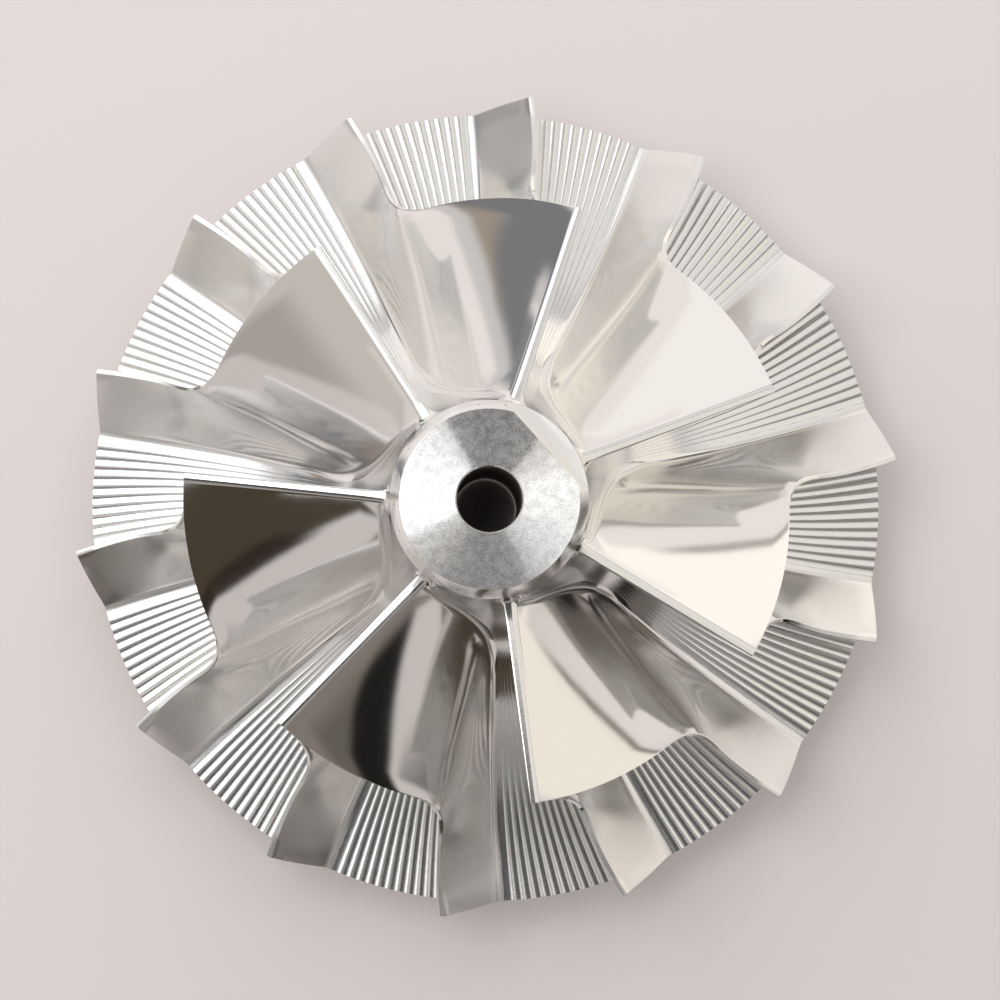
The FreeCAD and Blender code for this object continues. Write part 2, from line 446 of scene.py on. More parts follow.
def exit_radius(sizes: Sizes, height: Array) -> Array:
    """Radius of the trailing edge surface at a height: the rim's cylinder, then the exducer's cone."""
    slope = (sizes.tip_radius - sizes.disc_radius) / sizes.exit_rise
    return sizes.disc_radius + slope * np.maximum(height - sizes.disc_top, 0)


@dataclass
class BladeSide:
    """One side of a blade, with its root line, its tip line and the fillet at its foot.

    The fillet grows from nose_fillet to the full size over growth_run of the share, from growth_start.
    Everything is solved once on a fine row of shares, and read between them afterwards.
    """

    form: BladeForm
    side: Side
    nose_fillet: float = 0.6
    growth_start: float = -0.3
    growth_run: float = 0.38
    nose_steps: int = 24
    chord_steps: int = 420

    def __post_init__(self) -> None:
        """Solve the root line, the tip line and the fillet's two edges."""
        contours = self.form.contours
        nose = np.linspace(-1, 0, self.nose_steps, endpoint=False)
        self.shares = np.concatenate([nose, np.linspace(0, 1, self.chord_steps)])
        low = self.form.rail(self.shares, self.side, self.form.sink)
        high = self.form.rail(self.shares, self.side, self.form.proud)
        self.low, self.ruling = low, high - low

        def at(lift: Array) -> Array:
            """Points of the rulings at their lifts."""
            return low + self.ruling * lift[:, None]

        none, middle, all_ = (np.full(len(self.shares), value) for value in (0.0, 0.45, 1.0))
        root_lift = solve(lambda lift: above_hub(contours, at(lift)), none, middle)
        self.tip_lift = solve(lambda lift: outside_shroud(contours, at(lift)), middle, all_)
        self.corner = at(root_lift)
        self._fillet(root_lift)

    def _fillet(self, root_lift: Array) -> None:
        """Set the fillet's foot, toe and weight from the angle that the side makes with the floor.

        Args:
            root_lift: Where the side meets the floor, as a share of each ruling.
        """
        contours = self.form.contours
        run = unit(np.gradient(self.corner, axis=0))
        self.normal = hub_normal(contours, self.corner)
        floor = unit(np.cross(run, self.normal)) * self.side.value
        length = np.linalg.norm(self.ruling, axis=1)
        wall = self.ruling / length[:, None]
        wall = unit(wall - run * np.sum(wall * run, axis=1, keepdims=True))
        angle = np.arccos(np.clip(np.sum(floor * wall, axis=1), -1, 1))
        growth = eased(np.clip((self.shares - self.growth_start) / self.growth_run, 0, 1))
        radius = self.nose_fillet + (contours.sizes.root_fillet - self.nose_fillet) * growth
        reach = radius / np.tan(angle / 2)
        self.foot_lift = root_lift + reach / length
        self.floor_way = floor
        self.toe = on_hub(contours, self.corner + floor * reach[:, None])
        self.weight = np.sin(angle / 2)

    def read(self, values: Array, share: Array) -> Array:
        """Read values or points that are known at every solved share.

        Args:
            values: One value or one point for each solved share.
            share: The shares to read at.

        Returns:
            The values or points at those shares.
        """
        if values.ndim == 1:
            return np.interp(share, self.shares, values)
        return np.stack([np.interp(share, self.shares, column) for column in values.T], -1)

    def wall(self, share: Array, rise: float) -> Array:
        """Points of the side above its fillet.

        Args:
            share: Places along the side.
            rise: 0 at the fillet's foot and 1 at the shroud.

        Returns:
            Array of points.
        """
        foot, tip = self.read(self.foot_lift, share), self.read(self.tip_lift, share)
        lift = foot + (tip - foot) * rise
        return self.read(self.low, share) + self.read(self.ruling, share) * lift[:, None]

    def fillet(self, share: Array, turn: float) -> Array:
        """Points of the fillet.

        Args:
            share: Places along the side.
            turn: 0 at the foot, on the side, and 1 at the toe, on the floor.

        Returns:
            Array of points.
        """
        weight = self.read(self.weight, share)[:, None]
        foot = self.wall(share, 0.0)
        corner, toe = self.read(self.corner, share), self.read(self.toe, share)
        a, b, c = (1 - turn) ** 2, 2 * turn * (1 - turn) * weight, turn**2
        return (foot * a + corner * b + toe * c) / (a + b + c)

    def buried(self, share: Array, out: float, depth: float) -> Array:
        """Points near the toe line, sunk below the floor.

        Args:
            share: Places along the side.
            out: How far they stand away from the blade, millimetres along the floor.
            depth: How far they lie below the floor, millimetres.

        Returns:
            Array of points.
        """
        toe = self.read(self.toe, share) + self.read(self.floor_way, share) * out
        return on_hub(self.form.contours, toe) - self.read(self.normal, share) * depth


# ---------------------------------------------------------------------------------------------------
# Meshes
# ---------------------------------------------------------------------------------------------------


class Finish(Enum):
    """The surfaces that a tool leaves, in the order of the wheel's material slots."""

    FLOOR = 0
    BLADE = 1
    NOSE = 2
    EDGE = 3
    BORE = 4
    BACK = 5


@dataclass
class Shell:
    """A closed shell under construction: points, faces and the finish of each face.

    Each point also has its lay: how far it stands across the tool's paths and along them, millimetres.
    """

    points: list[Array] = field(default_factory=list)
    lays: list[Array] = field(default_factory=list)
    faces: list[tuple[int, ...]] = field(default_factory=list)
    finishes: list[int] = field(default_factory=list)
    count: int = 0

    def add(self, points: Array, lay: Array | None = None) -> Array:
        """Add a ring of points and return their numbers.

        Args:
            points: The ring's points.
            lay: Across and along for each point, or nothing where the finish doesn't use it.

        Returns:
            Numbers of the points.
        """
        numbers = np.arange(self.count, self.count + len(points))
        self.points.append(points)
        self.lays.append(np.zeros((len(points), 2)) if lay is None else lay)
        self.count += len(points)
        return numbers

    def strip(self, lower: Array, upper: Array, finish: Finish) -> None:
        """Join two closed rings of the same length with four-sided faces.

        Args:
            lower: Numbers of the first ring's points.
            upper: Numbers of the second ring's points.
            finish: Finish of the faces.
        """
        after = np.roll(lower, -1), np.roll(upper, -1)
        quads = np.stack([lower, after[0], after[1], upper], -1)
        self.faces.extend(map(tuple, quads.tolist()))
        self.finishes.extend([finish.value] * len(quads))

    def fan(self, fine: Array, coarse: Array, finish: Finish) -> None:
        """Join a closed ring to a coarser one whose length divides its own.

        Args:
            fine: Numbers of the fine ring's points.
            coarse: Numbers of the coarse ring's points.
            finish: Finish of the faces.
        """
        step = len(fine) // len(coarse)
        for k, (here, there) in enumerate(zip(coarse.tolist(), np.roll(coarse, -1).tolist())):
            arc = [int(fine[(k * step + i) % len(fine)]) for i in range(step + 1)]
            half = step // 2
            for i in range(step):
                self.faces.append((arc[i], arc[i + 1], here if i < half else there))
                self.finishes.append(finish.value)
            self.faces.append((arc[half], there, here))
            self.finishes.append(finish.value)

    def cap(self, ring: Array, finish: Finish) -> None:
        """Close a ring that runs down one side of a blade and back up the other.

        Args:
            ring: Numbers of the ring's points.
            finish: Finish of the faces.
        """
        pairs = len(ring) // 2
        ring = ring.tolist()
        for k in range(pairs - 1):
            self.faces.append((ring[k], ring[k + 1], ring[-2 - k], ring[-1 - k]))
            self.finishes.append(finish.value)

    def mesh(self, name: str) -> bpy.types.Mesh:
        """Make a Blender mesh of the shell.

        Args:
            name: Name of the mesh.

        Returns:
            The mesh, in metres.
        """
        mesh = bpy.data.meshes.new(name)
        mesh.from_pydata((np.concatenate(self.points) * MM).tolist(), [], self.faces)
        mesh.polygons.foreach_set("material_index", self.finishes)
        corners = np.zeros(len(mesh.loops), int)
        mesh.loops.foreach_get("vertex_index", corners)
        lay = mesh.uv_layers.new(name=LAY)
        lay.uv.foreach_set("vector", np.concatenate(self.lays)[corners].astype(np.float32).ravel())
        mesh.update()
        return mesh


@dataclass
class Blades:
    """One family of blades, each with its root fillet, its nose and its cut edges.

    turn is the first blade's angle. station_power bunches the stations towards the leading edge. buried_rows
    give the foot's rows below the floor: how far each stands out from the fillet's toe, and how deep it lies.
    edge_break is the width of a broken edge, tip_break its height as a share of the side, and draw_limit how
    much of the blade's thickness it may take from each side.
    """

    form: BladeForm
    turn: float
    chord_stations: int = 36
    nose_stations: int = 8
    wall_rows: int = 12
    fillet_rows: int = 5
    buried_rows: tuple[tuple[float, float], ...] = ((-0.5, 0.7), (0.1, 0.5), (0.25, 0.04))
    station_power: float = 1.25
    edge_break: float = 0.05
    tip_break: float = 0.006
    draw_limit: float = 0.45

    def __post_init__(self) -> None:
        """Solve both sides."""
        self.sides = [BladeSide(self.form, side) for side in (Side.PRESSURE, Side.SUCTION)]

    def _end(self, line: Callable[[Array], Array], back: float) -> float:
        """Where a line of one side ends.

        Args:
            line: The line's points for an array of shares.
            back: How far inside the trailing edge surface it ends, millimetres.

        Returns:
            The share at its end.
        """
        sizes = self.form.contours.sizes

        def past(share: Array) -> Array:
            """How far the line has come past its end."""
            point = line(share)
            return np.hypot(point[:, 0], point[:, 1]) - exit_radius(sizes, point[:, 2]) + back

        return float(solve(past, low=np.array([0.7]), high=np.array([1.0]), rounds=30)[0])

    def _row(self, lines: list[Callable[[Array], Array]], inset: float = 0.0) -> Array:
        """One closed row of points: up the pressure side to the nose, and back down the suction side.

        Args:
            lines: The pressure side's line and the suction side's line.
            inset: How far both are drawn in towards each other.

        Returns:
            The row's points, trailing edge first.
        """
        spread = np.linspace(0, 1, self.chord_stations) ** self.station_power
        nose = np.linspace(-1, 0, self.nose_stations, endpoint=False)
        halves = []
        for line in lines:
            end = self._end(line, self.edge_break)
            final = self._end(line, 0.0)
            halves.append(line(np.concatenate([nose, spread * end, [final]])))
        gap = halves[1] - halves[0]
        width = np.linalg.norm(gap, axis=1, keepdims=True)
        draw = np.full(len(gap), inset)
        draw[-1] = max(inset, self.edge_break)
        shift = gap * np.minimum(draw[:, None] / np.maximum(width, 1e-6), self.draw_limit)
        return np.concatenate([(halves[0] + shift)[::-1], halves[1] - shift])

    def rows(self) -> list[Array]:
        """The closed rows of one blade.

        Returns:
            The rows' points, from the buried foot up to the tip.
        """
        sides = self.sides
        rows = []
        for out, depth in self.buried_rows:
            rows.append(self._row([lambda s, b=b: b.buried(s, out, depth) for b in sides]))
        for turn in np.linspace(1, 0, self.fillet_rows + 1)[:-1]:
            rows.append(self._row([lambda s, b=b: b.fillet(s, turn) for b in sides]))
        for rise in [*np.linspace(0, 1, self.wall_rows)[:-1], 1 - self.tip_break]:
            rows.append(self._row([lambda s, b=b: b.wall(s, rise) for b in sides]))
        rows.append(self._row([lambda s, b=b: b.wall(s, 1.0) for b in sides], self.edge_break))
        return rows

    def _lays(self, rows: list[Array]) -> list[Array]:
        """How far the points of each row stand up the blade, and along it from its nose.

        Args:
            rows: The closed rows of one blade.

        Returns:
            An array of pairs for each row.
        """
        steps_up = [float(np.linalg.norm(high - low, axis=1).mean()) for low, high in zip(rows, rows[1:])]
        lays = []
        for row, height in zip(rows, np.cumsum([0.0] + steps_up)):
            steps = np.linalg.norm(np.diff(row, axis=0), axis=1)
            along = np.concatenate([[0.0], np.cumsum(steps)])
            lays.append(np.column_stack([np.full(len(row), height), np.abs(along - along[len(row) // 2])]))
        return lays

    def shell(self) -> Shell:
        """All blades of the family.

        Returns:
            One shell, in separate closed parts.
        """
        shell = Shell()
        rows = self.rows()
        lays = self._lays(rows)
        count = self.form.contours.sizes.blade_count
        for k in range(count):
            angle = self.turn + 2 * math.pi * k / count
            cos, sin = math.cos(angle), math.sin(angle)
            spin = np.array([[cos, sin, 0], [-sin, cos, 0], [0, 0, 1]])
            rings = [shell.add(row[::-1] @ spin, lay[::-1]) for row, lay in zip(rows, lays)]
            shell.cap(rings[0][::-1], Finish.BLADE)
            for lower, upper in zip(rings, rings[1:]):
                shell.strip(lower, upper, Finish.BLADE)
            shell.cap(rings[-1], Finish.BLADE)
        return shell


@dataclass
class Hub:
    """The turned and milled body between the blades: floor with its cutter's lanes, nose, bore, rim and back.

    cuts are the places across a lane where the mesh has points. The cutter leaves the floor smooth as far
    as smooth_end, and cuts its lanes to their full depth lane_run further on. The fillets' toes draw together
    over toe_run ahead of a blade, to toe_least of their width. lane_fade is how much of a channel's outer
    lanes dies away at the blades. The rows behind the leading edges start at first_row, and row_power bunches
    them. Every coarse-th point of the floor's first row carries on over the nose, whose rings even out over
    even_rings. face_ring and boss_ring are rings within the nose's face and the boss's face. bore_rings stand
    in the bore, bore_end from its two ends, and back_points follow the hollowed back.
    """

    contours: Contours
    full: Blades
    splitter: Blades
    lanes: int = 13
    cuts: tuple[float, ...] = (0.0, 0.1, 0.3, 0.7, 0.9)
    under_blade: int = 5
    floor_rows: int = 48
    cutter_radius: float = 1.5
    smooth_end: float = 0.02
    lane_run: float = 0.15
    toe_run: float = 0.16
    toe_least: float = 0.06
    lane_fade: float = 0.8
    first_row: float = 0.015
    row_power: float = 0.85
    coarse: int = 5
    even_rings: int = 2
    face_ring: float = 6.5
    boss_ring: float = 8.0
    bore_rings: int = 8
    bore_end: float = 2.0
    back_points: int = 22

    def _toes(self, blades: Blades, m: Array) -> tuple[Array, Array]:
        """Angles from a blade's middle to the toes of its two fillets.

        Args:
            blades: The blade's family.
            m: Places on the hub line.

        Returns:
            The angles on the pressure side and on the suction side, radians.
        """
        places, line = self.contours.hub_samples()
        key = line[:, 0] - line[:, 1]
        widths = []
        for side in blades.sides:
            toe = side.toe[side.nose_steps :]
            radius = np.hypot(toe[:, 0], toe[:, 1])
            place = np.interp(radius - toe[:, 2], key, places)
            middle = self.contours.root_angle(place)
            off = np.abs(np.arctan2(toe[:, 1], toe[:, 0]) - middle)
            order = np.argsort(place)
            ahead = eased(np.clip((m - place[order[0]] + self.toe_run) / self.toe_run, self.toe_least, 1))
            widths.append(np.interp(m, place[order], off[order]) * ahead)
        return widths[0], widths[1]

    def _lifts(self, m: Array, pitch: Array, share: Array, lanes: Array) -> Array:
        """How far a channel's floor stands above its smooth line, from the round grooves of a ball cutter.

        Args:
            m: Places on the hub line, one for each row.
            pitch: Width of a lane at each row, millimetres.
            share: Places across the channel from 0 to 1, one for each column.
            lanes: The same places counted in lanes.

        Returns:
            Lifts as rows by columns, millimetres.
        """
        depth = (pitch / 2) ** 2 / (2 * self.cutter_radius)
        depth = depth * np.clip((m - self.smooth_end) / self.lane_run, 0, 1)
        across = 2 * (lanes % 1) - 1
        edge = np.clip(np.minimum(share, 1 - share) * self.lanes / self.lane_fade, 0, 1)
        mean = 1 / 5
        return depth[:, None] * (across**4 - mean) * edge

    def _floor(self) -> Array:
        """The floor with its lanes.

        Returns:
            Points as floor_rows by columns.
        """
        sizes = self.contours.sizes
        spread = np.linspace(0, 1, self.floor_rows - 3) ** self.row_power
        m = np.concatenate([[HUB_START, -0.02, 0.0], spread * (1 - self.first_row) + self.first_row])
        middle = self.contours.root_angle(m)
        half_pitch = math.pi / sizes.blade_count
        full_pressure, full_suction = self._toes(self.full, m)
        part_pressure, part_suction = self._toes(self.splitter, m)
        channels = [
            (middle + full_suction, middle + half_pitch - part_pressure),
            (middle + half_pitch + part_suction, middle + 2 * half_pitch - full_pressure),
        ]
        line = self.contours.hub(m)
        slope = np.gradient(line, axis=0)
        normal = unit(np.stack([-slope[:, 1], slope[:, 0]], -1))
        lanes = (np.arange(self.lanes)[:, None] + np.array(self.cuts)).ravel()
        share = lanes / self.lanes
        under = np.arange(self.under_blade) / self.under_blade
        flat = np.repeat(line[:, None, :], self.under_blade, axis=1)
        flat[-1, :, 0] = sizes.disc_radius
        blocks = []
        for blade in range(sizes.blade_count):
            for k, (start, end) in enumerate(channels):
                lift = self._lifts(m, (end - start) * line[:, 0] / self.lanes, share, lanes)
                point = line[:, None, :] + normal[:, None, :] * lift[..., None]
                point[-1, :, 0] = sizes.disc_radius
                angle = start[:, None] + (end - start)[:, None] * share
                blocks.append(turned(point, angle + 2 * half_pitch * blade))
                after = channels[1][0] if k == 0 else channels[0][0] + 2 * half_pitch
                angle = end[:, None] + (after - end)[:, None] * under
                blocks.append(turned(flat, angle + 2 * half_pitch * blade))
        return np.concatenate(blocks, axis=1)

    def _rings(self) -> list[tuple[float, float, Finish]]:
        """The rings from the nose's edge through the bore and over the back.

        Returns:
            Radius, height and finish of each ring.
        """
        s = self.contours.sizes
        rings = [
            (s.nose_radius, s.crown - s.nose_edge, Finish.FLOOR),
            (s.nose_radius - s.nose_edge, s.crown, Finish.EDGE),
            (self.face_ring, s.crown, Finish.NOSE),
            (s.bore_radius + s.bore_chamfer, s.crown, Finish.NOSE),
            (s.bore_radius, s.crown - s.bore_chamfer, Finish.EDGE),
        ]
        heights = np.linspace(s.crown - self.bore_end, self.bore_end, self.bore_rings)
        rings += [(s.bore_radius, height, Finish.BORE) for height in heights]
        rings += [
            (s.bore_radius, s.bore_chamfer, Finish.BORE),
            (s.bore_radius + s.bore_chamfer, 0.0, Finish.BACK),
            (self.boss_ring, 0.0, Finish.BACK),
            (s.boss_radius, 0.0, Finish.BACK),
        ]
        return rings + [(radius, height, Finish.BACK) for radius, height in self._back_line()[:-1]]

    def shell(self) -> Shell:
        """The whole hub.

        Returns:
            One closed shell.
        """
        sizes = self.contours.sizes
        shell = Shell()
        floor = self._floor()
        block = [k + cut for k in range(self.lanes) for cut in self.cuts]
        block += [self.lanes + 0.5] * self.under_blade
        lanes = np.array(block * (2 * sizes.blade_count))
        run = np.concatenate([[0.0], np.cumsum(np.linalg.norm(np.diff(floor[:, 0], axis=0), axis=1))])
        rows = []
        for row, far in zip(floor, run):
            rows.append(shell.add(row, np.column_stack([lanes, np.full(len(row), far)])))
        for upper, lower in zip(rows, rows[1:]):
            shell.strip(lower, upper, Finish.FLOOR)
        first_row = floor[0, :: self.coarse]
        top_angle = np.unwrap(np.arctan2(first_row[:, 1], first_row[:, 0]))
        even = top_angle[0] + np.arange(len(top_angle)) * 2 * math.pi / len(top_angle)
        even += np.mean(top_angle - even)
        previous = None
        for step, (radius, height, finish) in enumerate(self._rings()):
            angle = top_angle + (even - top_angle) * min(step / self.even_rings, 1)
            ring = shell.add(turned(np.tile((radius, height), (len(angle), 1)), angle))
            if previous is None:
                shell.fan(rows[0], ring, finish)
            else:
                shell.strip(previous, ring, finish)
            previous = ring
        rim_angle = np.arctan2(floor[-1, :, 1], floor[-1, :, 0])
        rim_height = self._back_line()[-1][1]
        rim_low = shell.add(turned(np.tile((sizes.disc_radius, rim_height), (len(rim_angle), 1)), rim_angle))
        shell.strip(rim_low, rows[-1], Finish.BACK)
        self._turn_fan(shell, rim_low, previous)
        return shell

    def _turn_fan(self, shell: Shell, fine: Array, coarse: Array) -> None:
        """Join the rim's fine ring to the back's last coarse ring, facing down.

        Args:
            shell: The hub's shell.
            fine: Numbers of the rim's points.
            coarse: Numbers of the back's last ring.
        """
        before = len(shell.faces)
        shell.fan(fine, coarse, Finish.BACK)
        shell.faces[before:] = [face[::-1] for face in shell.faces[before:]]

    def _back_line(self) -> list[tuple[float, float]]:
        """The hollowed back, from the boss to the rim.

        Returns:
            Radius and height of its points.
        """
        sizes = self.contours.sizes
        rim = sizes.disc_top - sizes.rim_thickness
        flow_end = self.contours.hub(np.array([HUB_END]))[0, 0]
        boss, step = sizes.boss_radius, sizes.boss_step
        poles = [(boss + step / 2, step), (boss + 9.5, 2 * step), (boss + 18.5, rim - step), (flow_end, rim)]
        line = CubicLine(np.array(poles))
        places = np.linspace(0, 1, 400)
        last = np.interp(sizes.disc_radius, line.at(places)[:, 0], places)
        return [tuple(point) for point in line.at(np.linspace(0, last, self.back_points)).tolist()]


# ---------------------------------------------------------------------------------------------------
# Finishes
# ---------------------------------------------------------------------------------------------------


class NodeTree:
    """A material's node tree, with short calls to add and join nodes."""

    def __init__(self, name: str) -> None:
        """Start a material with one Principled BSDF.

        Args:
            name: Name of the material.
        """
        self.material = bpy.data.materials.new(name)
        self.material.use_nodes = True
        self.tree = self.material.node_tree
        self.surface = self.tree.nodes["Principled BSDF"]

    def node(self, kind: str, **settings: object) -> bpy.types.Node:
        """Add a node.

        Args:
            kind: The node's type.
            **settings: Its properties.

        Returns:
            The node.
        """
        node = self.tree.nodes.new(kind)
        for key, value in settings.items():
            setattr(node, key, value)
        return node

    def join(self, source: Socket, target: Socket) -> None:
        """Join two sockets."""
        self.tree.links.new(source, target)

    def feed(self, slot: Socket, value: object) -> None:
        """Join a socket to an input, or set the input to a plain value.

        Args:
            slot: The input.
            value: A socket, a number, a vector or a colour.
        """
        if isinstance(value, Socket):
            self.join(value, slot)
        else:
            slot.default_value = value

    def math(self, operation: str, *values: object) -> Socket:
        """Add a Math node.

        Args:
            operation: What it works out.
            *values: Sockets or numbers.

        Returns:
            Its output.
        """
        node = self.node("ShaderNodeMath", operation=operation)
        for slot, value in zip(node.inputs, values):
            self.feed(slot, value)
        return node.outputs[0]

    def vector(self, operation: str, *values: object) -> Socket:
        """Add a Vector Math node.

        Args:
            operation: What it works out.
            *values: Sockets, vectors or numbers.

        Returns:
            Its output, a number for DOT_PRODUCT and LENGTH and a vector otherwise.
        """
        node = self.node("ShaderNodeVectorMath", operation=operation)
        slots = [slot for slot in node.inputs if slot.enabled]
        for slot, value in zip(slots, values):
            self.feed(slot, value)
        return node.outputs["Value" if operation in ("DOT_PRODUCT", "LENGTH") else "Vector"]

    def flat(self, place: Socket) -> Socket:
        """A place moved square to the axis onto the plane through the origin."""
        return self.vector("MULTIPLY", place, (1.0, 1.0, 0.0))

    def ramp(self, value: Socket, none: float, full: float) -> Socket:
        """Rise smoothly from 0 to 1.

        Args:
            value: The value to follow.
            none: Where the rise starts.
            full: Where it ends.

        Returns:
            The risen share.
        """
        node = self.node("ShaderNodeMapRange", interpolation_type="SMOOTHSTEP")
        self.join(value, node.inputs["Value"])
        node.inputs["From Min"].default_value = none
        node.inputs["From Max"].default_value = full
        return node.outputs["Result"]

    def noise(self, place: Socket, scale: float, detail: float) -> Socket:
        """Smooth random value.

        Args:
            place: Where to read it.
            scale: Waves to a unit of length.
            detail: Number of finer layers.

        Returns:
            The value, from 0 to 1.
        """
        node = self.node("ShaderNodeTexNoise")
        node.inputs["Scale"].default_value = scale
        node.inputs["Detail"].default_value = detail
        self.join(place, node.inputs["Vector"])
        return node.outputs["Fac"]

    def mix(self, share: Socket, under: Colour, over: Colour) -> Socket:
        """Lay one colour over another.

        Args:
            share: How fully the upper colour covers, from 0 to 1.
            under: The lower colour.
            over: The upper colour.

        Returns:
            The mixed colour.
        """
        node = self.node("ShaderNodeMix", data_type="RGBA")
        self.join(share, node.inputs[0])
        node.inputs[6].default_value = (*under, 1.0)
        node.inputs[7].default_value = (*over, 1.0)
        return node.outputs[2]


@dataclass(frozen=True)
class Grain:
    """A metal's fine random grain: its mean roughness, how much that varies, and the grain's own relief.

    size is in millimetres and height in thousandths of a millimetre.
    """

    roughness: float
    mottle: float
    size: float
    height: float


@dataclass(frozen=True)
class Metal:
    """Bare aluminium alloy with a fine random grain. The finishes below add what their own tool leaves.

    colour is its reflectance. metallic is 0 where a dark colour is painted in as shade in place of the metal,
    and specular is how strongly that painted surface shines.
    """

    name: str
    colour: Colour
    grain: Grain
    metallic: float = 1.0
    specular: float = 0.5

    def make(self) -> bpy.types.Material:
        """Build the material.

        Returns:
            The material.
        """
        tree = NodeTree(self.name)
        tree.surface.inputs["Metallic"].default_value = self.metallic
        tree.surface.inputs["Base Color"].default_value = (*self.colour, 1.0)
        tree.surface.inputs["Specular IOR Level"].default_value = self.specular
        place = tree.node("ShaderNodeTexCoord").outputs["Object"]
        grain = self.grain
        noise = tree.noise(place, 1 / (grain.size * MM), 3.0)
        rough = tree.math("MULTIPLY_ADD", noise, 2 * grain.mottle, grain.roughness - grain.mottle)
        height = tree.math("MULTIPLY", noise, grain.height)
        rough, height = self.tooled(tree, place, rough, height)
        tree.join(rough, tree.surface.inputs["Roughness"])
        bump = tree.node("ShaderNodeBump")
        bump.inputs["Distance"].default_value = MM / 1000
        tree.join(height, bump.inputs["Height"])
        tree.join(bump.outputs["Normal"], tree.surface.inputs["Normal"])
        return tree.material

    def tooled(self, tree: NodeTree, place: Socket, rough: Socket, height: Socket) -> tuple[Socket, Socket]:
        """Add the marks of the tool.

        Args:
            tree: The material's node tree.
            place: Position on the wheel, metres.
            rough: Roughness so far.
            height: Surface height so far, thousandths of a millimetre.

        Returns:
            Roughness and height with the marks.
        """
        return rough, height


@dataclass(frozen=True)
class MilledFloor(Metal):
    """The floor between the blades: a ball cutter's lanes, their ridges darkened partly by a burr, partly as
    painted shade.

    ridge_width is the darkened band's mean reach to each side of a ridge, as a share of a lane, and wander
    the length over which it changes, millimetres. ridge_shade is the share of the metal's colour that the
    band keeps.
    chatter is the height of the ripple along the lanes, thousandths of a millimetre, and chatter_waves its
    waves to a lane's width and to a millimetre along it.
    """

    ridge_width: float = 0.09
    ridge_shade: float = 0.74
    wander: float = 0.9
    chatter: float = 6.0
    chatter_waves: tuple[float, float] = (1.0, 2.2)

    def tooled(self, tree: NodeTree, place: Socket, rough: Socket, height: Socket) -> tuple[Socket, Socket]:
        """Darken the ridges unevenly, partly for a burr and partly as painted shade, and add chatter across
        the lanes.

        Args:
            tree: The material's node tree.
            place: Position on the wheel, metres.
            rough: Roughness so far.
            height: Surface height so far, thousandths of a millimetre.

        Returns:
            Roughness and height with the marks.
        """
        lay = tree.node("ShaderNodeUVMap", uv_map=LAY).outputs["UV"]
        parts = tree.node("ShaderNodeSeparateXYZ")
        tree.join(lay, parts.inputs[0])
        lane = parts.outputs["X"]
        away = tree.math("PINGPONG", lane, 0.5)
        wander = tree.noise(place, 1 / (self.wander * MM), 2.0)
        ridge = tree.math("LESS_THAN", away, tree.math("MULTIPLY", wander, 2 * self.ridge_width))
        # Painted shade, with the burr: the ridges' colour is darkened to ridge_shade of the metal's.
        burr_and_shade = tuple(c * self.ridge_shade for c in self.colour)
        tree.join(tree.mix(ridge, self.colour, burr_and_shade), tree.surface.inputs["Base Color"])
        ripple = tree.noise(tree.vector("MULTIPLY", lay, (*self.chatter_waves, 0.0)), 1.0, 2.0)
        return rough, tree.math("MULTIPLY_ADD", ripple, self.chatter, height)


@dataclass(frozen=True)
class MilledBlade(Metal):
    """A blade's side: fine lines along the cutter's way, nearly a mirror inboard and hazy at the exducer.

    line_height is in thousandths of a millimetre. line_spacing is the lines' distance, and line_length how
    far one runs, millimetres. haze is the roughness added between the radii haze_start and haze_end.
    """

    line_height: float = 1.2
    line_spacing: float = 0.35
    line_length: float = 20.0
    haze: float = 0.20
    haze_start: float = 34.0
    haze_end: float = 40.0

    def tooled(self, tree: NodeTree, place: Socket, rough: Socket, height: Socket) -> tuple[Socket, Socket]:
        """Add the lines along the blade, and the haze at the exducer.

        Args:
            tree: The material's node tree.
            place: Position on the wheel, metres.
            rough: Roughness so far.
            height: Surface height so far, thousandths of a millimetre.

        Returns:
            Roughness and height with the marks.
        """
        lay = tree.node("ShaderNodeUVMap", uv_map=LAY).outputs["UV"]
        stretched = tree.vector("MULTIPLY", lay, (1 / self.line_spacing, 1 / self.line_length, 0.0))
        lines = tree.noise(stretched, 1.0, 3.0)
        radius = tree.vector("LENGTH", tree.flat(place))
        outboard = tree.ramp(radius, self.haze_start * MM, self.haze_end * MM)
        rough = tree.math("MULTIPLY_ADD", outboard, self.haze, rough)
        return rough, tree.math("MULTIPLY_ADD", lines, self.line_height, height)


@dataclass(frozen=True)
class PaintedDimSector:
    """A sector of a turned face whose colour is darkened: painted shade that stands in for the dim reflection
    there.

    middle, half_width and the edges' blur are angles in degrees. darker is how much the specks in it darken,
    and between of that how much the metal between them does.
    """

    middle: float
    half_width: float
    darker: float
    blur: float = 4.0
    between: float = 0.7

    def scale(self, tree: NodeTree, outward: Socket, speck: Socket) -> Socket:
        """What the face's colour is multiplied by.

        Args:
            tree: The material's node tree.
            outward: Unit vector away from the axis.
            speck: Share of the face's specks.

        Returns:
            The factor, 1 outside the sector.
        """
        turn = math.radians(self.middle)
        facing = tree.vector("DOT_PRODUCT", outward, (math.cos(turn), math.sin(turn), 0.0))
        outer, inner = (math.cos(math.radians(self.half_width + way * self.blur)) for way in (1, -1))
        # Painted shade: in the sector the specks, and less so the metal between them, are darkened.
        dimming = tree.math("MULTIPLY_ADD", speck, 1 - self.between, self.between)
        dimming = tree.math("MULTIPLY", tree.ramp(facing, outer, inner), dimming)
        return tree.math("MULTIPLY_ADD", dimming, -self.darker, 1.0)


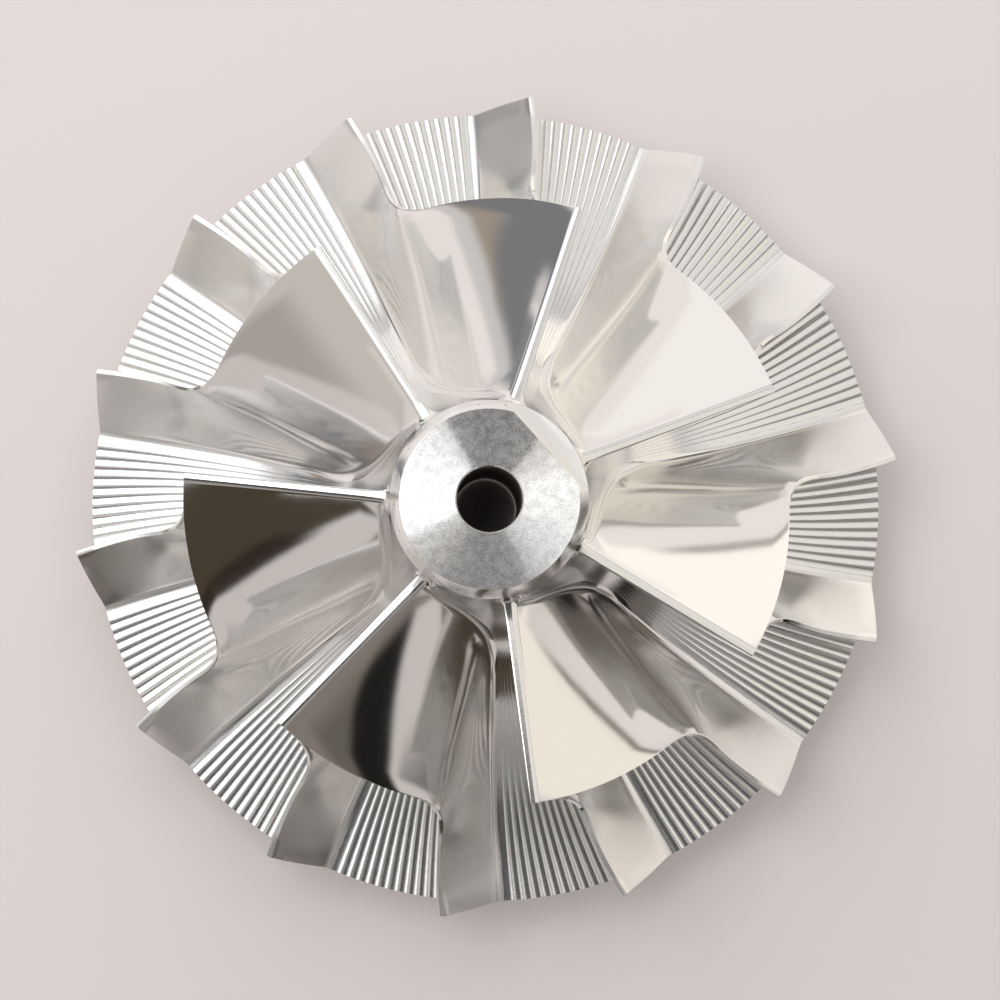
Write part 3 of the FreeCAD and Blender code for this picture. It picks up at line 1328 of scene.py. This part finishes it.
@dataclass(frozen=True)
class TurnedFace(Metal):
    """A face that a lathe leaves: fine circular grooves that draw reflections out along the radius.

    stretch is how strongly they do so. dish is how far the grooves' walls lean outward, as a slope. speck is
    how much the specks darken, and speck_size and patch_size are their own size and that of their patches,
    millimetres. patch_weight is how much a patch counts, and a speck is none at speck_none of the sum of both
    and full at speck_full. The sectors it is given darken its colour: painted shade for the dim reflections
    there.
    """

    stretch: float = 1.0
    dish: float = 0.07
    speck: float = 0.30
    speck_size: float = 0.12
    patch_size: float = 0.9
    patch_weight: float = 0.6
    speck_none: float = 0.66
    speck_full: float = 0.98
    painted_dim: tuple[PaintedDimSector, ...] = ()

    def tooled(self, tree: NodeTree, place: Socket, rough: Socket, height: Socket) -> tuple[Socket, Socket]:
        """Draw reflections out along the radius, darken the face with fine specks in loose patches, and paint
        shade over its sectors.

        Args:
            tree: The material's node tree.
            place: Position on the wheel, metres.
            rough: Roughness so far.
            height: Surface height so far, thousandths of a millimetre.

        Returns:
            Roughness and height with the marks.
        """
        fine = tree.noise(place, 1 / (self.speck_size * MM), 2.0)
        loose = tree.noise(place, 1 / (self.patch_size * MM), 2.0)
        sum_of_both = tree.math("ADD", fine, tree.math("MULTIPLY", loose, self.patch_weight))
        speck = tree.ramp(sum_of_both, self.speck_none, self.speck_full)
        colour = tree.mix(speck, self.colour, tuple(c * (1 - self.speck) for c in self.colour))
        flat = tree.flat(place)
        outward = tree.vector("NORMALIZE", flat)
        # Painted shade: each sector darkens the face's colour.
        for sector in self.painted_dim:
            colour = tree.vector("SCALE", colour, sector.scale(tree, outward, speck))
        tree.join(colour, tree.surface.inputs["Base Color"])
        tree.surface.inputs["Anisotropic"].default_value = self.stretch
        tree.surface.inputs["Anisotropic Rotation"].default_value = 0.25
        around = tree.node("ShaderNodeTangent", direction_type="RADIAL", axis="Z")
        tree.join(around.outputs["Tangent"], tree.surface.inputs["Tangent"])
        fall = -self.dish * 1000 / MM
        return rough, tree.math("MULTIPLY_ADD", tree.vector("LENGTH", flat), fall, height)


# ---------------------------------------------------------------------------------------------------
# The wheel and its studio
# ---------------------------------------------------------------------------------------------------


@dataclass
class CompressorWheel:
    """The whole wheel in one piece: hub, full blades and splitter blades united into one closed mesh.

    Faces that meet at more than sharp_angle degrees keep a sharp edge between them.
    """

    sizes: Sizes = field(default_factory=Sizes)
    sharp_angle: float = 24.0

    def __post_init__(self) -> None:
        """Lay out the contours, both blade families and the hub."""
        contours = Contours(self.sizes)
        self.full = Blades(BladeForm(contours, corners=(0.3, 0.7)), turn=0.0)
        short = BladeForm(contours, root_start=0.34, tip_start=0.42)
        half_pitch = math.pi / self.sizes.blade_count
        self.splitter = Blades(short, turn=half_pitch, chord_stations=28)
        self.hub = Hub(contours, self.full, self.splitter)

    def build(self) -> bpy.types.Object:
        """Build, unite and dress the wheel.

        Returns:
            The finished piece.
        """
        finishes = [metal.make() for metal in self._metals()]
        wheel = self._place("wheel", self.hub.shell(), finishes)
        for name, blades in (("full_blades", self.full), ("splitters", self.splitter)):
            self._combine(wheel, self._place(name, blades.shell(), finishes), "UNION")
        self._combine(wheel, self._place("balance_block", self._balance_block(), finishes), "DIFFERENCE")
        wheel.data.shade_smooth()
        wheel.data.set_sharp_from_angle(angle=math.radians(self.sharp_angle))
        return wheel

    def _metals(self) -> list[Metal]:
        """The wheel's surfaces.

        Returns:
            The metals, in the order of Finish.
        """
        # Painted shade on the nose: two sectors darkened for the dim reflections there.
        nose_painted_dim = (PaintedDimSector(63.0, 34.0, 0.52), PaintedDimSector(229.0, 46.0, 0.30))
        floor = Grain(roughness=0.16, mottle=0.03, size=1.0, height=4.0)
        blade = Grain(roughness=0.09, mottle=0.02, size=1.5, height=0.8)
        nose = Grain(roughness=0.31, mottle=0.04, size=0.30, height=1.5)
        edge = Grain(roughness=0.16, mottle=0.03, size=0.5, height=1.0)
        bore = Grain(roughness=0.9, mottle=0.05, size=0.8, height=6.0)
        back = Grain(roughness=0.34, mottle=0.05, size=0.4, height=1.5)
        return [
            MilledFloor("milled_floor", (0.90, 0.90, 0.89), floor),
            MilledBlade("flank_milled_blade", (0.91, 0.905, 0.89), blade),
            TurnedFace("turned_nose", (0.90, 0.90, 0.90), nose, painted_dim=nose_painted_dim),
            Metal("polished_edge", (0.92, 0.92, 0.91), edge),
            # The bore: painted shade, a dark matt non-metal colour in place of the shadowed metal.
            Metal("bore_painted_shade", (0.22, 0.185, 0.17), bore, metallic=0.0, specular=0.05),
            TurnedFace("turned_back", (0.89, 0.89, 0.88), back, dish=0.0, speck=0.1),
        ]

    def _place(self, name: str, shell: Shell, finishes: list[bpy.types.Material]) -> bpy.types.Object:
        """Put a shell in the scene.

        Args:
            name: Name of the object.
            shell: Its form.
            finishes: The wheel's materials.

        Returns:
            The object.
        """
        mesh = shell.mesh(name)
        for material in finishes:
            mesh.materials.append(material)
        piece = bpy.data.objects.new(name, mesh)
        bpy.context.scene.collection.objects.link(piece)
        log.info("%s: %d faces", name, len(mesh.polygons))
        return piece

    def _balance_block(self) -> Shell:
        """The block whose rounded lower edge takes the balance cut out of the nose's corner.

        Returns:
            Its closed shell.
        """
        s = self.sizes
        reach, clear = s.nose_radius + 3, s.crown + 1
        floor = s.crown - s.balance_depth
        arc = np.linspace(math.pi, 1.5 * math.pi, 9)
        out = s.balance_chord + s.balance_corner * (1 + np.cos(arc))
        up = floor + s.balance_corner * (1 + np.sin(arc))
        corners = [(reach, floor), (reach, clear), (s.balance_chord, clear)]
        profile = np.concatenate([np.column_stack([out, up]), corners])
        turn = math.radians(s.balance_angle)
        along = np.array([-math.sin(turn), math.cos(turn), 0]) * s.nose_radius
        section = turned(profile, np.full(len(profile), turn))
        block = Shell()
        near, far = block.add(section - along), block.add(section + along)
        block.strip(far, near, Finish.EDGE)
        block.faces += [tuple(near.tolist()), tuple(far[::-1].tolist())]
        block.finishes += [Finish.EDGE.value] * 2
        return block

    def _combine(self, wheel: bpy.types.Object, other: bpy.types.Object, operation: str) -> None:
        """Unite another object with the wheel, or take it away from the wheel, and remove that object.

        Args:
            wheel: The wheel.
            other: The blades to add or the block to take away.
            operation: UNION or DIFFERENCE.
        """
        change = wheel.modifiers.new("combine", "BOOLEAN")
        change.operation = operation
        change.solver = "MANIFOLD"
        change.object = other
        graph = bpy.context.evaluated_depsgraph_get()
        combined = bpy.data.meshes.new_from_object(wheel.evaluated_get(graph))
        wheel.modifiers.clear()
        wheel.data = combined
        bpy.data.objects.remove(other)


@dataclass(frozen=True)
class Panel:
    """A soft-edged panel of the room that the polished metal reflects.

    bearing is its middle, counted anticlockwise from the view's right, and half_width its reach to each
    side; low and high are elevations. All are degrees. fade is the width of its blurred ends and soft that
    of its blurred lower and upper edge.
    """

    bearing: float
    half_width: float
    low: float
    high: float
    fade: float
    soft: float
    colour: Colour

    def share(self, bearing: Array, elevation: Array) -> Array:
        """How fully the panel covers each direction.

        Args:
            bearing: Directions, degrees from the view's right.
            elevation: Their elevations, degrees.

        Returns:
            Shares from 0 to 1.
        """
        away = np.abs((bearing - self.bearing + 180) % 360 - 180)
        cover = np.ones_like(elevation)
        edges = (
            (self.half_width - away, self.fade),
            (elevation - self.low, self.soft),
            (self.high - elevation, self.soft),
        )
        for inside, blur in edges:
            cover = cover * eased(np.clip(inside / blur + 0.5, 0, 1))
        return cover


ROOM_COLOUR = (0.62, 0.595, 0.585)
ROOM = (
    # The table, dim at the back and bright towards the lamp.
    Panel(0, 180, -99, -2, 9, 3, (0.60, 0.55, 0.525)),
    Panel(112, 92, -99, -2, 70, 3, (0.88, 0.82, 0.79)),
    # The four dark patches on the table that follow are painted shade.
    Panel(303, 9, -99, -3, 8, 6, (0.13, 0.115, 0.10)),
    Panel(350, 10, -99, -5, 8, 6, (0.19, 0.18, 0.165)),
    Panel(158, 5, -30, -6, 6, 6, (0.24, 0.24, 0.25)),
    Panel(251, 8, -99, -5, 8, 6, (0.33, 0.31, 0.29)),
    # Overhead, from bright to dim.
    Panel(20, 36, 42, 99, 16, 16, (0.84, 0.80, 0.74)),
    Panel(96, 44, 46, 72, 16, 16, (0.78, 0.76, 0.75)),
    Panel(292, 56, 28, 50, 14, 14, (0.38, 0.36, 0.34)),
    Panel(285, 52, 46, 99, 14, 14, (0.27, 0.26, 0.25)),
    Panel(272, 40, 64, 99, 8, 8, (0.07, 0.068, 0.066)),
    Panel(161, 44, 46, 72, 8, 12, (1.3, 1.3, 1.3)),
    Panel(161, 44, 68, 99, 3, 8, (3.2, 3.2, 3.2)),
    # Walls and screens round the table.
    Panel(22, 24, -2, 32, 10, 4, (0.92, 0.85, 0.76)),
    Panel(26, 12, -3, 0.5, 10, 2, (0.20, 0.17, 0.15)),
    Panel(68, 21, -2, 32, 8, 4, (1.10, 1.03, 0.94)),
    Panel(77, 10, -1.5, 2.5, 8, 2, (0.42, 0.38, 0.36)),
    Panel(118, 28, -2, 34, 10, 4, (0.97, 0.92, 0.89)),
    Panel(178, 12, 7, 20, 8, 5, (0.36, 0.30, 0.25)),
    Panel(161, 13, 9, 34, 6, 9, (0.195, 0.195, 0.205)),
    Panel(213, 14, -2, 34, 14, 4, (0.57, 0.53, 0.49)),
    Panel(234, 12, -2, 34, 10, 4, (0.40, 0.365, 0.345)),
    Panel(270, 20, 2, 32, 7, 5, (0.064, 0.050, 0.034)),
    Panel(283, 9, -1, 9, 6, 3, (0.03, 0.022, 0.016)),
    Panel(294, 6, 8, 42, 6, 6, (0.42, 0.40, 0.375)),
    Panel(312, 12, -2, 36, 8, 4, (0.22, 0.19, 0.17)),
    Panel(334, 14, 0, 36, 8, 6, (0.13, 0.115, 0.10)),
    Panel(333, 14, 0, 17, 5, 4, (0.012, 0.011, 0.010)),
)
# Where a blade's turn starts, the room is looked up SIGHT_LIFT higher than it stands, and that dies away over
# SIGHT_REACH of bearing, faster at first as SIGHT_POWER grows. SIGHT_DROP is taken off all round. Above
# SIGHT_CEILING nothing changes, and from SIGHT_DEPTH below it the whole of the change counts.
SIGHT_START = 5.4
SIGHT_REACH = 28.0
SIGHT_LIFT = 34.0
SIGHT_POWER = 1.6
SIGHT_DROP = 4.0
SIGHT_CEILING = 30.0
SIGHT_DEPTH = 35.0


def sighted(bearing: Array, elevation: Array, blades: int) -> Array:
    """Elevations at which the room is painted so that each blade shows the table's edge in one sweep.

    Args:
        bearing: Directions, degrees from the view's right.
        elevation: Their elevations, degrees.
        blades: Number of blades round the wheel.

    Returns:
        The elevations to look up in the room, degrees.
    """
    turn = (bearing - SIGHT_START) % (360 / blades)
    lift = SIGHT_LIFT * (1 - np.minimum(turn / SIGHT_REACH, 1)) ** SIGHT_POWER - SIGHT_DROP
    return elevation + lift * np.clip((SIGHT_CEILING - elevation) / SIGHT_DEPTH, 0, 1)


@dataclass(frozen=True)
class Softbox:
    """A square softbox: bearing and elevation in degrees, distance and size in metres, power in watts."""

    name: str
    bearing: float
    elevation: float
    distance: float
    size: float
    power: float


SOFTBOXES = (
    Softbox("key", bearing=150.0, elevation=70.0, distance=0.6, size=0.32, power=0.95),
    Softbox("fill", bearing=96.0, elevation=45.0, distance=0.5, size=0.6, power=1.15),
)


@dataclass
class Studio:
    """Pale floor, lamps, the room that the metal reflects, and the camera.

    The view's right stands view_turn degrees clockwise of +X. The camera stands over camera_offset and
    aims at camera_aim, both in the view's own axes, metres. top is the height that it aims at, and
    camera_height its own height above that.
    """

    view_turn: float = 21.3
    floor_colour: Colour = (0.753, 0.701, 0.687)
    floor_reach: float = 4.0
    world_colour: Colour = (0.80, 0.78, 0.77)
    world_strength: float = 0.65
    camera_height: float = 0.6
    camera_offset: tuple[float, float] = (-0.0074, -0.0180)
    camera_aim: tuple[float, float] = (0.00156, 0.00084)
    lens: float = 193.8
    top: float = 0.0086
    room_radius: float = 2.5

    def spot(self, right: float, up: float, height: float) -> Vector:
        """A point given in the view's own axes.

        Args:
            right: How far it stands to the right, metres.
            up: How far it stands towards the picture's top, metres.
            height: Its height, metres.

        Returns:
            The point in the wheel's frame.
        """
        turn = math.radians(-self.view_turn)
        x = right * math.cos(turn) - up * math.sin(turn)
        y = right * math.sin(turn) + up * math.cos(turn)
        return Vector((x, y, height))

    def toward(self, bearing: float, elevation: float) -> Vector:
        """A direction in the wheel's frame.

        Args:
            bearing: Counted anticlockwise from the view's right, degrees.
            elevation: Above the floor, degrees.

        Returns:
            Unit vector.
        """
        way, rise = math.radians(bearing), math.radians(elevation)
        return self.spot(math.cos(way) * math.cos(rise), math.sin(way) * math.cos(rise), math.sin(rise))

    def link(self, name: str, data: bpy.types.ID) -> bpy.types.Object:
        """Put an object in the scene.

        Args:
            name: Name of the object.
            data: Its mesh, camera or lamp.

        Returns:
            The object.
        """
        made = bpy.data.objects.new(name, data)
        bpy.context.scene.collection.objects.link(made)
        return made

    def camera(self) -> None:
        """Make the camera, looking down on the wheel."""
        data = bpy.data.cameras.new("camera")
        data.lens = self.lens
        data.sensor_width = 36
        data.clip_start = 0.01
        camera = self.link("camera", data)
        eye = self.spot(*self.camera_offset, self.top + self.camera_height)
        aim = self.spot(*self.camera_aim, self.top)
        back = (eye - aim).normalized()
        right = self.spot(0, 1, 0).cross(back).normalized()
        turn = Matrix((right, back.cross(right), back)).transposed()
        camera.matrix_world = Matrix.Translation(eye) @ turn.to_4x4()
        bpy.context.scene.camera = camera

    def floor(self, height: float) -> None:
        """Lay the pale floor under the wheel.

        Args:
            height: Height of the floor, metres.
        """
        mesh = bpy.data.meshes.new("floor")
        side = self.floor_reach
        corners = [(-side, -side, height), (side, -side, height), (side, side, height), (-side, side, height)]
        mesh.from_pydata(corners, [], [(0, 1, 2, 3)])
        tree = NodeTree("paper")
        tree.surface.inputs["Base Color"].default_value = (*self.floor_colour, 1.0)
        tree.surface.inputs["Roughness"].default_value = 0.8
        mesh.materials.append(tree.material)
        floor = self.link("floor", mesh)
        floor.visible_glossy = False

    def room(self) -> None:
        """Set the room that only reflections show, painted on the inside of a ball."""
        ball = bmesh.new()
        bmesh.ops.create_icosphere(ball, subdivisions=7, radius=self.room_radius)
        mesh = bpy.data.meshes.new("room")
        ball.to_mesh(mesh)
        ball.free()
        points = np.zeros(3 * len(mesh.vertices))
        mesh.vertices.foreach_get("co", points)
        points = unit(points.reshape(-1, 3))
        elevation = np.degrees(np.arcsin(np.clip(points[:, 2], -1, 1)))
        bearing = np.degrees(np.arctan2(points[:, 1], points[:, 0])) + self.view_turn
        elevation = sighted(bearing, elevation, Sizes().blade_count)
        colours = np.tile(np.array(ROOM_COLOUR), (len(points), 1))
        for panel in ROOM:
            share = panel.share(bearing, elevation)[:, None]
            colours = colours * (1 - share) + np.array(panel.colour) * share
        paint = mesh.color_attributes.new("paint", "FLOAT_COLOR", "POINT")
        paint.data.foreach_set("color", np.column_stack([colours, np.ones(len(points))]).ravel())
        tree = NodeTree("room_walls")
        tree.tree.nodes.remove(tree.surface)
        glow = tree.node("ShaderNodeEmission")
        walls = tree.node("ShaderNodeAttribute", attribute_name="paint")
        tree.join(walls.outputs["Color"], glow.inputs["Color"])
        tree.join(glow.outputs[0], tree.tree.nodes["Material Output"].inputs["Surface"])
        tree.material.cycles.emission_sampling = "NONE"
        mesh.materials.append(tree.material)
        room = self.link("room", mesh)
        room.visible_camera = False
        room.visible_diffuse = False
        room.visible_shadow = False

    def lamp(self, lamp: Softbox) -> None:
        """Hang a square softbox that faces the wheel.

        Args:
            lamp: Its place, size and power.
        """
        data = bpy.data.lights.new(lamp.name, "AREA")
        data.shape = "SQUARE"
        data.size = lamp.size
        data.energy = lamp.power
        made = self.link(lamp.name, data)
        made.visible_glossy = False
        made.location = self.toward(lamp.bearing, lamp.elevation) * lamp.distance
        made.rotation_euler = made.location.to_track_quat("Z", "Y").to_euler()

    def world(self) -> None:
        """Fill the world with plain pale light."""
        world = bpy.data.worlds.new("studio")
        world.use_nodes = True
        background = world.node_tree.nodes["Background"]
        background.inputs["Color"].default_value = (*self.world_colour, 1.0)
        background.inputs["Strength"].default_value = self.world_strength
        bpy.context.scene.world = world


def main() -> None:
    """Build the wheel and the studio, and report each piece."""
    logging.basicConfig(level=logging.INFO, format="%(name)s: %(message)s")
    bpy.context.scene.view_settings.view_transform = "Standard"
    wheel = CompressorWheel().build()
    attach(wheel, "root")
    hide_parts(NODE)
    log.info("%s: %d faces, %d points", wheel.name, len(wheel.data.polygons), len(wheel.data.vertices))
    studio = Studio()
    studio.camera()
    studio.floor(cad_box[0][2])
    studio.world()
    studio.room()
    for softbox in SOFTBOXES:
        studio.lamp(softbox)


if __name__ == "__main__":
    main()
